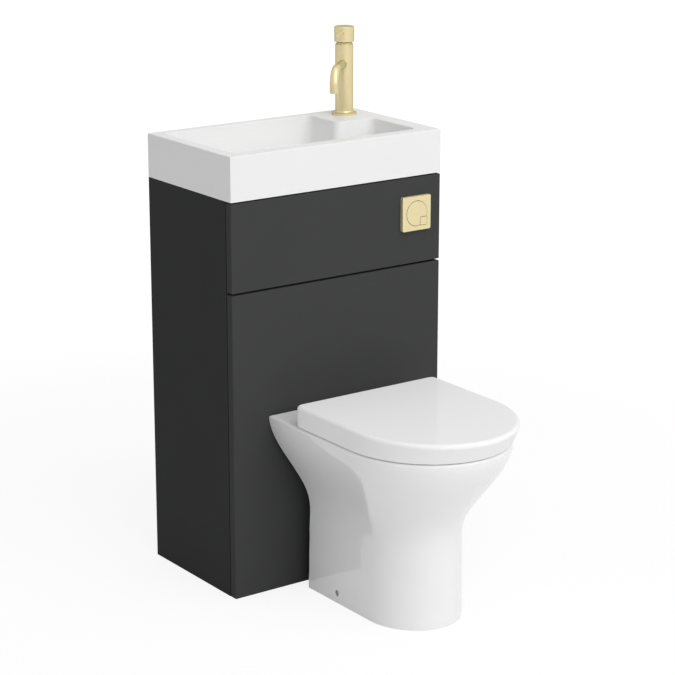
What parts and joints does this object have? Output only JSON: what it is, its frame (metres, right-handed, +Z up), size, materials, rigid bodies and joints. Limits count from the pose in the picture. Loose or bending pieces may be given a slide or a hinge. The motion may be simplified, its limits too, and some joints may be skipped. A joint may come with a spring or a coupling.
{
  "type": "combined toilet and basin unit",
  "caption": "Narrow floor cabinet with a slab basin and mixer tap on top, a concealed cistern with a flush plate, and a back-to-wall toilet pan with a wrap-over lid in front.",
  "frame": {"origin": "on the floor, at the wall, on the unit's centre line: the middle of the rear bottom rail's lower rear edge", "axes": "+X to the right seen from the front, +Y to the wall, +Z up"},
  "size_m": [0.5, 0.7729, 1.0722],
  "materials": {
    "board": "matt lacquered board",
    "rail": "melamine-faced board",
    "dowel": "turned beech",
    "black_plastic": "moulded",
    "mineral_cast": "satin white",
    "vitreous_china": "gloss white glaze",
    "brass": "brushed",
    "chrome": "polished",
    "steel": "zinc plated",
    "rubber": "moulded",
    "bumper": "moulded white",
    "seat_plastic": "gloss white",
    "white_plastic": "moulded white",
    "tank_plastic": "moulded grey-white",
    "valve_plastic": "moulded blue",
    "aerator": "moulded",
    "cartridge": "moulded",
    "cartridge_moving": "fine ground"
  },
  "bodies": {
    "unit": {"side_panel_left": "board", "side_panel_right": "board", "upper_front_panel": "board", "lower_front_panel": "board", "front_top_rail": "rail", "front_middle_rail": "rail", "front_bottom_rail": "rail", "rear_top_rail": "rail", "rear_middle_rail": "rail", "rear_bottom_rail": "rail", "rail_dowels": "dowel", "panel_clips": "black_plastic", "basin": "mineral_cast", "waste_body": "chrome", "waste_washer": "rubber", "waste_backnut": "chrome", "trap_body": "white_plastic", "trap_nut": "white_plastic", "trap_cup": "white_plastic", "tap_body": "brass", "tap_spout": "brass", "tap_aerator": "aerator", "tap_cartridge": "cartridge", "cartridge_nut": "brass", "tap_gasket": "rubber", "tap_clamp_plate": "steel", "tap_stud": "steel", "tap_nut": "steel", "pan": "vitreous_china", "pan_brackets": "black_plastic", "pan_screw_caps": "seat_plastic", "fixing_screws": "steel", "hinge_posts": "chrome", "hinge_pins": "steel", "hinge_nuts": "black_plastic", "cistern_tank": "tank_plastic", "cistern_lid": "tank_plastic", "fill_valve": "white_plastic", "fill_backnut": "white_plastic", "flush_valve_body": "white_plastic", "flush_valve_backnut": "white_plastic", "flush_pipe": "white_plastic", "flush_cone": "rubber", "flush_plate": "brass", "button_housing": "black_plastic", "housing_nut": "black_plastic"},
    "lid_body": {"lid": "seat_plastic", "lid_bumpers": "bumper"},
    "seat_body": {"seat_ring": "seat_plastic", "seat_bumpers": "bumper"},
    "full_button": {"full_flush_button": "brass"},
    "half_button": {"half_flush_button": "brass"},
    "plunger": {"flush_valve_plunger": "valve_plastic", "flush_valve_seal": "rubber"},
    "float": {"fill_float": "tank_plastic"},
    "tap_carrier": {"cartridge_carrier": "cartridge_moving"},
    "tap_lever": {"cartridge_spindle": "steel", "tap_lever_cap": "brass", "tap_lever_peg": "brass"},
    "plug": {"waste_plug": "brass"}
  },
  "joints": [
    {"name": "lid_hinge", "type": "hinge", "parent": "unit", "child": "lid_body", "pos_m": [0, -0.3995, 0.394], "axis": [-1, 0, 0], "range_deg": [0, 100]},
    {"name": "seat_hinge", "type": "hinge", "parent": "unit", "child": "seat_body", "pos_m": [0, -0.3995, 0.394], "axis": [-1, 0, 0], "range_deg": [0, 96]},
    {"name": "full_flush_press", "type": "slide", "parent": "unit", "child": "full_button", "axis": [0, 1, 0], "range_m": [0, 0.0036], "stiffness_N_per_m": 600, "springref_m": -0.002},
    {"name": "half_flush_press", "type": "slide", "parent": "unit", "child": "half_button", "axis": [0, 1, 0], "range_m": [0, 0.0036], "stiffness_N_per_m": 600, "springref_m": -0.002},
    {"name": "flush_lift", "type": "slide", "parent": "unit", "child": "plunger", "axis": [0, 0, 1], "range_m": [0, 0.018]},
    {"name": "fill_float_slide", "type": "slide", "parent": "unit", "child": "float", "axis": [0, 0, 1], "range_m": [0, 0.05]},
    {"name": "tap_swivel", "type": "hinge", "parent": "unit", "child": "tap_carrier", "pos_m": [0.188, -0.056, 1.0221], "axis": [0, 0, 1], "range_deg": [-45, 45]},
    {"name": "tap_lift", "type": "hinge", "parent": "tap_carrier", "child": "tap_lever", "pos_m": [0.188, -0.056, 1.0221], "axis": [-0.6691, 0.7431, 0], "range_deg": [0, 12]},
    {"name": "waste_plug_slide", "type": "slide", "parent": "unit", "child": "plug", "axis": [0, 0, 1], "range_m": [0, 0.008]}
  ],
  "couplings": [
    {"joint": "seat_hinge", "follows": "lid_hinge", "ratio": 0.96},
    {"joint": "flush_lift", "follows": "full_flush_press", "ratio": 5}
  ]
}
